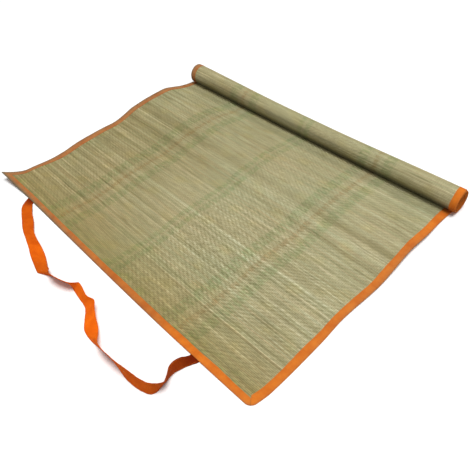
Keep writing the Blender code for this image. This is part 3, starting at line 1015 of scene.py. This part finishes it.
def tapeColours(side, inward, runs, inwards, isUpper):
    share = inward / tape["width"]  # from the fold to the inner border
    soil = curveThrough(tape["soil"][side], runs)
    soil = soil * between(tape["soilAtFold"], tape["soilAtBorder"][side], share)
    # wear and painted shade at the fold and along the inner border
    atBorders = hump(share, 0.0, tape["wearAndShadeAtFold"]) + riseOver(share, *tape["wearAndShadeAtBorder"])
    soil = soil + tape["wearAndShade"] * atBorders
    # painted shade at the tape's fold
    tone = 1.0 - hump(inwards, *tape["foldAt"]) * (1.0 - curveThrough(tape["foldShade"][side], runs))
    tone = tone * (1.0 + tape["borderTone"] * (inward > tape["borderFrom"]))
    tone = tone * curveThrough(tape["faceTone"][side], runs)
    if side != "front":
        # painted shade on the turns inside the roll
        inner = riseOver(angleAt(runs - roll["contact"]), *tape["innerTurn"])
        tone = tone * (1.0 - (1.0 - tape["innerTurnShade"]) * inner)
        # painted shade where the roll touches the flat part
        tone = tone * (1.0 - (1.0 - tape["creaseShadeTone"]) * creaseShade(runs, isUpper))
    return between(tape["clean"], tape["soiled"], soil[..., None]) * tone[..., None]


def makeTape(name, material, side):
    profile, outerCount = tapeProfile()
    order = np.arange(len(profile))
    isOuter = order < outerCount
    isBorder = isOuter & ((order < tape["borderPoints"]) | (order >= outerCount - tape["borderPoints"]))
    runs, inwards = tapeGrid(name, side, profile, isBorder)
    alongSpeed, acrossSpeed = tape["unevenSpeeds"]
    seed = tape["unevenSeed"] + len(name)
    bumps = tape["unevenness"] * softNoise(seed, runs * alongSpeed, inwards * acrossSpeed)
    nearStitch = hump(profile[:, 0], tape["stitchAt"], tape["stitchDipReach"])
    dips = tape["stitchDip"] * np.cos(2 * math.pi * runs / tape["stitchPitch"]) * nearStitch
    offsets = profile[:, 1] + np.where(isOuter, (bumps - dips) * np.sign(profile[:, 1]), 0.0)
    across = mat["width"] - inwards if side == "right" else inwards
    across, along = (runs, inwards) if side == "front" else (across, runs)
    points = layPoint(across, along) + layFacing(across, along) * offsets[..., None]
    faces = loopTube(*runs.shape)
    if side != "right":
        faces = [face[::-1] for face in faces]
    piece = makePiece(name, points, faces, material)
    shift = np.where(offsets < 0, tape["undersideShift"], 0.0)
    pointMap(piece, "tapeLay", np.stack([runs, inwards + shift], -1))
    pointColour(piece, "tapeColour", tapeColours(side, profile[:, 0], runs, inwards, offsets > 0))
    return piece


# Sewing: each stitch is a short bead of thread that dips into the cloth at its ends
stitch = {
    "length": 2.5 * mm,
    "radius": 0.21 * mm,
    "sides": 5,
    "proud": 0.10 * mm,
    "sunk": 0.16 * mm,
    "shares": [-0.5, -0.34, 0.34, 0.5],  # its four rings, by share of its length and of its radius
    "sizes": [0.6, 1.0, 1.0, 0.6],
    "overFloor": 1.2,  # radii
    "colour": (0.74, 0.17, 0.012, 1.0),
    "twist": 900,
}

sewing = {  # where the tape's stitches lie
    "onSheet": 0.91 * mm,
    "onStrap": 0.98 * mm,
    "toRoll": 8 * mm,
    "intoRoll": 4 * mm,
    "boxWide": 11 * mm,  # the box of sewing at each strap end
    "boxDeep": (3.5 * mm, 9.5 * mm),
    "boxSides": (1.5 * mm, 0.5 * mm),
    "boxInset": 1 * mm,
}


def stitchBeads(places, onward, facing):
    sideways = unit(np.cross(onward, facing))
    place, way, side, up = (vectors[:, None] for vectors in (places, onward, sideways, facing))
    lifts = np.array([-stitch["sunk"], stitch["proud"], stitch["proud"], -stitch["sunk"]])
    radii = np.array(stitch["sizes"]) * stitch["radius"]
    turns = np.arange(stitch["sides"]) * 2 * math.pi / stitch["sides"]
    centre = place + way * (np.array(stitch["shares"]) * stitch["length"])[:, None] + up * lifts[:, None]
    ring = side * np.cos(turns)[:, None] + up * np.sin(turns)[:, None]
    return (centre[:, :, None] + ring[:, None] * radii[:, None, None]).reshape(-1, 3)


def makeStitches(name, material, runs):
    beads = np.concatenate([stitchBeads(*run) for run in runs])
    rings, around = len(stitch["shares"]), stitch["sides"]
    one = loopTube(rings, around)
    faces = [tuple(first + v for v in face) for first in range(0, len(beads), rings * around) for face in one]
    piece = makePiece(name, beads, faces, material)
    pointMap(piece, "threadLay", beads[:, :2])
    return piece


def sheetRun(across, along, offset):  # stitches on the sheet's upper face, or under it
    facing = layFacing(across, along)
    places = layPoint(across, along) + facing * offset
    return places, unit(np.gradient(places, axis=0)), facing * np.sign(offset)


def tapeStitchRuns():
    step, clear, proud = tape["stitchPitch"], tape["fan"], sewing["onSheet"]
    flat = np.arange(clear, roll["contact"] - sewing["toRoll"], step)
    turn = roll["contact"] + np.arange(-sewing["intoRoll"], woundAt(2 * math.pi), step)
    front = np.arange(clear, mat["width"] - clear, step)
    runs = []
    for side in ("left", "right"):
        upper = tape["stitchAt"] * flapShare(side, flat)
        lower = np.full(len(turn), tape["stitchAt"] * tape["underShow"][side])
        for inward, along, offset in ((upper, flat, proud), (lower, turn, -proud)):
            runs.append(sheetRun(inward if side == "left" else mat["width"] - inward, along, offset))
    runs.append(sheetRun(front, tape["stitchAt"] * flapShare("front", front), proud))
    wide, (near, far), (before, after) = sewing["boxWide"], sewing["boxDeep"], sewing["boxSides"]
    for place in mat["strapPlaces"]:  # the box of sewing that holds each strap end
        across = np.arange(place - wide, place + wide, step)
        along = np.arange(near + sewing["boxInset"], far + sewing["boxInset"], step)
        runs += [sheetRun(across, np.full(len(across), line), sewing["onStrap"]) for line in (near, far)]
        runs += [sheetRun(np.full(len(along), line), along, sewing["onStrap"])
                 for line in (place - wide - before, place + wide + after)]
    return runs


# The carry strap, a flat band sewn double. Its rungs are in mm, across from the left corner and out
# from the edge.
strap = {
    "thickness": 1.25 * mm,
    "steps": 7,
    "smoothing": 0.6,
    "acrossPoints": 13,
    "sewnEnd": (20 * mm, 50 * mm),  # the band is flat up to here, and free from there
    "freeFrom": (30 * mm, 60 * mm),  # and the same from its other end
    "cup": 0.5 * mm,
    "ripple": 0.35 * mm,
    "crumple": 0.22 * mm,
    "noises": ((51, 18), (52, 95, 2), (53, 160, 3)),  # of these three: seed, and how quickly they change
    "borderTurn": 0.08,  # where the points across it begin, in radians
    "undersideShift": 60 * mm,  # on the cloth's map
    "borderThin": (0.25, 0.9 * mm),  # how thin its borders are, and how far in
    "hemAt": 2.8 * mm,
    "hemDip": 0.14 * mm,
    "hemDipReach": 0.7 * mm,
    "hemDark": 0.16,
    "hemDarkReach": 0.8 * mm,
    "overFloor": 0.03 * mm,
    "stitchPitch": 3.4 * mm,
    "stitchProud": 0.02 * mm,
    "stitchEnds": (24 * mm, 26 * mm),
    "weave": 1.1 * mm,
    "worn": 0.15,
    # its colour where painted light falls, and its deep colour where painted shade falls
    "litColour": (0.90, 0.153, 0.005),
    "deep": (0.155, 0.012, 0.001),
    "lightAndShade": [  # painted light and shade along the band, from 0 (lit) to 1 (shaded), by mm along it
        (0, 1.0), (26, 0.95), (36, 0.75), (52, 0.42), (110, 0.38), (185, 0.20), (225, 0.22), (260, 0.36),
        (330, 0.30), (400, 0.04), (540, 0.04), (600, 0.26), (690, 0.38), (708, 0.54), (730, 0.72),
        (760, 0.72), (785, 0.94), (820, 1.0),
    ],
    # (foot across, foot out, top across, top out, top up)
    "rungs": [
        (108, -20, 134, -20, 0), (108, -2, 135, -2, 0), (111, 9, 138, 7, 0), (118, 21, 145, 11, 2),
        (128, 32, 157, 17, 5), (145, 42, 175, 26, 6), (173, 55, 203, 37, 5), (205, 69, 236, 53, 7),
        (238, 78, 267, 61, 11), (269, 87, 294, 65, 4), (296, 96, 323, 72, 2), (320, 102, 346, 80, 5),
        (347, 108, 364, 86, 11), (356, 108, 378, 88, 18), (371, 99, 391, 94, 26), (389, 90, 402, 97, 31),
        (407, 84, 413, 96, 31), (421, 79, 429, 92, 31), (433, 75, 445, 86, 30), (444, 76, 455, 79, 28),
        (455, 78, 461, 69, 25), (467, 80, 466, 64, 24), (486, 82, 486, 67, 24), (499, 83, 506, 71, 23),
        (512, 86, 526, 66, 23), (525, 94, 541, 76, 20), (540, 105, 559, 85, 17), (553, 114, 575, 92, 13),
        (567, 118, 588, 99, 15), (583, 119, 602, 107, 22), (598, 118, 613, 114, 28), (616, 116, 624, 118, 32),
        (635, 114, 640, 120, 33), (653, 113, 656, 118, 33), (670, 114, 670, 117, 33),
        (687, 116, 684, 115, 33), (704, 117, 698, 112, 32), (720, 116, 714, 109, 32),
        (738, 112, 734, 106, 33), (755, 105, 752, 100, 33),
        (761, 95, 761, 93, 33), (760, 84, 767, 86, 32), (758, 76, 770, 80, 31), (757, 67, 769, 75, 31),
        (755, 58, 764, 67, 32), (755, 48, 757, 58, 33), (758, 38, 753, 49, 33), (761, 27, 752, 38, 31),
        (765, 18, 752, 26, 25), (768, 12, 751, 18, 15), (770, 8, 749, 11, 6), (771, 4, 748, 5, 0),
        (771, -4, 747, -4, 0), (771, -20, 747, -20, 0),
    ],
}


def smoothLine(points, steps):  # a smooth line through points
    points = np.asarray(points, float)
    before = np.r_[points[:1], points[:-1]]
    after = np.r_[points[2:], points[-1:]]
    line = []
    for k in range(len(points) - 1):
        start, end = points[k], points[k + 1]
        for step in range(steps):
            t = step / steps
            bend = 2 * before[k] - 5 * start + 4 * end - after[k]
            turn = 3 * start - before[k] - 3 * end + after[k]
            line.append(0.5 * (2 * start + (end - before[k]) * t + bend * t**2 + turn * t**3))
    return np.array(line + [points[-1]])


def blurred(line, width):
    reach = int(3 * width)
    weights = np.exp(-0.5 * (np.arange(-reach, reach + 1) / width)**2)
    padded = np.concatenate([np.repeat(line[:1], reach, 0), line, np.repeat(line[-1:], reach, 0)])
    return np.stack([np.convolve(padded[:, k], weights / weights.sum(), "valid") for k in range(3)], 1)


def strapFrame():  # the band's foot, its ways to the top and outwards, its width and how far along it is
    rungs = np.array(strap["rungs"], float) * mm
    low = strap["thickness"] / 2
    lines = []
    for across, out, up in ((rungs[:, 0], rungs[:, 1], low), (rungs[:, 2], rungs[:, 3], rungs[:, 4])):
        height = np.maximum(up, low) * np.ones(len(rungs))
        line = np.c_[across - mat["width"] / 2, -out - mat["edgeToOrigin"], height]
        lines.append(blurred(smoothLine(line, strap["steps"]), strap["smoothing"]))
    feet, tops = lines
    centre = (feet + tops) / 2
    sideways = unit(tops - feet)
    facing = unit(np.cross(sideways, unit(np.gradient(centre, axis=0))))
    run = np.r_[0.0, np.cumsum(np.linalg.norm(np.diff(centre, axis=0), axis=1))]
    return feet, sideways, facing, np.linalg.norm(tops - feet, axis=1), run


def strapOffset(share, run, length):  # how the band bows and ripples off its flat, at a share of its width
    cupNoise, rippleNoise, crumpleNoise = (
        softNoise(seed, *(phase * speed for phase, speed in zip((run, share), speeds)))
        for seed, *speeds in strap["noises"])
    fromMiddle = 2 * share - 1
    cup = strap["cup"] * (1 - fromMiddle**2) * cupNoise
    ripple = strap["ripple"] * np.abs(fromMiddle)**3 * rippleNoise
    crumple = strap["crumple"] * crumpleNoise
    free = riseOver(run, *strap["sewnEnd"]) * riseOver(length - run, *strap["freeFrom"])
    return (cup + ripple + crumple) * free


def makeStrap(material):
    feet, sideways, facing, width, run = strapFrame()
    turns = np.linspace(strap["borderTurn"], math.pi - strap["borderTurn"], strap["acrossPoints"])
    shares = 0.5 - 0.5 * np.cos(turns)  # closer together towards the borders
    shares = (shares - shares[0]) / (shares[-1] - shares[0])
    share = np.r_[shares, shares[::-1]]  # up the outer face and down the inner one
    isUpper = np.arange(len(share)) < len(shares)
    across = share * width[:, None]
    fromEdge = np.minimum(share, 1 - share) * width[:, None]
    thin, thinReach = strap["borderThin"]
    half = strap["thickness"] / 2 * np.sqrt(np.clip(thin + fromEdge / thinReach, 0, 1))
    half = half - strap["hemDip"] * hump(fromEdge, strap["hemAt"], strap["hemDipReach"])
    lift = strapOffset(share, run[:, None], run[-1]) + np.where(isUpper, half, -half)
    points = feet[:, None] + sideways[:, None] * across[..., None] + facing[:, None] * lift[..., None]
    points[..., 2] = np.maximum(points[..., 2], strap["overFloor"])
    faces = [face[::-1] for face in loopTube(*across.shape)]
    piece = makePiece("carryStrap", points, faces, material)
    mapAcross = across + np.where(isUpper, 0.0, strap["undersideShift"])
    pointMap(piece, "strapLay", np.stack([np.broadcast_to(run[:, None], across.shape), mapAcross], -1))
    hem = 1.0 - strap["hemDark"] * hump(fromEdge, 0.0, strap["hemDarkReach"])
    # painted light and shade along the band
    lightAndShade = curveThrough(strap["lightAndShade"], run)[:, None, None]
    pointColour(piece, "strapColour", between(strap["litColour"], strap["deep"], lightAndShade) * hem[..., None])
    return piece, run[-1]


def strapStitchRuns():
    feet, sideways, facing, width, run = strapFrame()
    first, last = strap["stitchEnds"]
    places = np.arange(first, run[-1] - last, strap["stitchPitch"])
    index = np.interp(places, run, np.arange(len(run)))
    low = np.floor(index).astype(int)
    high = np.minimum(low + 1, len(run) - 1)
    part = (index - low)[:, None]
    feet, sideways, facing, width = (
        line[low] * (1 - part) + line[high] * part for line in (feet, sideways, facing, width[:, None]))
    sideways, facing, width = unit(sideways), unit(facing), width[:, 0]
    half = strap["thickness"] / 2 - strap["hemDip"] + strap["stitchProud"]
    runs = []
    for across in (np.full(len(places), strap["hemAt"]), width - strap["hemAt"]):
        bow = strapOffset(across / width, places, run[-1])
        for face in (1.0, -1.0):
            spots = feet + sideways * across[:, None] + facing * (bow + half * face)[:, None]
            spots[:, 2] = np.maximum(spots[:, 2], stitch["radius"] * stitch["overFloor"])
            heading = unit(np.gradient(spots, axis=0))  # follows the hem where the band turns
            runs.append((spots, heading, unit(np.cross(sideways, heading)) * face))
    return runs


# The room: a plain pale floor, soft light and the camera
room = {
    "floorSize": 12.0,
    "floorColour": (0.95, 0.95, 0.95, 1.0),
    "floorRoughness": 0.9,
    "floorSpecular": 0.1,
    "backdrop": 0.97,  # what shows behind the floor
    "horizon": 0.06,  # strength of the sky's light at the horizon and overhead
    "overhead": 0.50,
    "keyPlace": (1.0, 0.5, 7.9),
    "keySize": 4.0,
    "keyPower": 600.0,
    "aim": (0.0, 0.15, 0.0),
}

camera = {
    "place": (0.71694, -0.37532, 0.79927),
    "tilt": 0.812605,  # down from level
    "yaw": 2.438919,
    "roll": 0.0899549,
    "focalPixels": 484.651,
    "framePixels": 470,
    "sensor": 36.0,
    "nearest": 10 * mm,
}


def makeFloor():
    size = room["floorSize"] / 2
    corners = [(-size, -size, 0.0), (size, -size, 0.0), (size, size, 0.0), (-size, size, 0.0)]
    material, _, shader = newMaterial("paleFloor", room["floorRoughness"], room["floorSpecular"])
    shader.inputs["Base Color"].default_value = room["floorColour"]
    floor = makePiece("studioFloor", corners, [(0, 1, 2, 3)], material, smooth=False)
    return floor


def makeLight():
    lamp = bpy.data.lights.new("keyLight", "AREA")
    lamp.shape = "DISK"
    lamp.size = room["keySize"]
    lamp.energy = room["keyPower"]
    light = bpy.data.objects.new("keyLight", lamp)
    light.location = room["keyPlace"]
    aim = Vector(room["aim"]) - Vector(room["keyPlace"])
    light.rotation_euler = aim.to_track_quat("-Z", "Y").to_euler()
    bpy.context.scene.collection.objects.link(light)


def makeRoom():
    bpy.context.scene.view_settings.view_transform = "Standard"
    world = bpy.data.worlds.new("paleRoom")
    world.use_nodes = True
    tree = world.node_tree
    seen = node(tree, "ShaderNodeLightPath").outputs["Is Camera Ray"]
    ways = node(tree, "ShaderNodeTexCoord").outputs["Generated"]
    way = node(tree, "ShaderNodeSeparateXYZ", {0: ways}).outputs[2]
    sky = ranged(tree, way, 0.0, 1.0, room["horizon"], room["overhead"])
    strength = ranged(tree, seen, 0.0, 1.0, sky, room["backdrop"])
    tree.nodes["Background"].inputs[0].default_value = (1.0, 1.0, 1.0, 1.0)
    tree.links.new(strength, tree.nodes["Background"].inputs[1])
    bpy.context.scene.world = world
    makeLight()
    return makeFloor()


def makeCamera():
    tilt, yaw, lean = camera["tilt"], camera["yaw"], camera["roll"]
    look = Vector((math.cos(tilt) * math.cos(yaw), math.cos(tilt) * math.sin(yaw), -math.sin(tilt)))
    level = look.cross(Vector((0, 0, 1))).normalized()
    down = look.cross(level)
    right = math.cos(lean) * level + math.sin(lean) * down
    up = math.sin(lean) * level - math.cos(lean) * down
    view = bpy.data.cameras.new("photoCamera")
    view.sensor_width = camera["sensor"]
    view.lens = camera["focalPixels"] / camera["framePixels"] * camera["sensor"]
    view.clip_start = camera["nearest"]
    holder = bpy.data.objects.new("photoCamera", view)
    turn = Matrix((right, up, -look)).transposed().to_4x4()
    holder.matrix_world = Matrix.Translation(camera["place"]) @ turn
    bpy.context.scene.collection.objects.link(holder)
    bpy.context.scene.camera = holder


makeCamera()
floor = makeRoom()
print("camera, light and floor are in place")

sheet, edges, fineRows = makeStrawSheet(strawMaterial())
threads = makeWarpThreads(threadMaterial("warpCotton", warp["colour"], warp["twist"]), edges, fineRows)
print("straw sheet is woven")

tapeCloth = clothMaterial("edgeTapeCloth", "tapeLay", "tapeColour", tape["weave"], tape["worn"])
leftTape, rightTape, frontTape = (
    makeTape(f"{side}Tape", tapeCloth, side) for side in ("left", "right", "front"))
orangeThread = threadMaterial("orangeThread", stitch["colour"], stitch["twist"])
tapeStitches = makeStitches("tapeStitches", orangeThread, tapeStitchRuns())
print("edges are bound")

strapCloth = clothMaterial("strapCloth", "strapLay", "strapColour", strap["weave"], strap["worn"])
carryStrap, strapLength = makeStrap(strapCloth)
strapStitches = makeStitches("strapStitches", orangeThread, strapStitchRuns())
print(f"strap is sewn, {strapLength:.3f} m long")

for piece, nodeName, slotName in (
        (sheet, "straw_sheet", "straw"), (threads, None, "straw"), (leftTape, "tape_left", "edge_tape"),
        (rightTape, "tape_right", "edge_tape"), (frontTape, "tape_front", "edge_tape"),
        (tapeStitches, None, "edge_tape"), (carryStrap, "carry_strap", "strap_cloth"),
        (strapStitches, None, "strap_cloth")):
    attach(piece, "root")
    if nodeName:
        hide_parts(nodeName)
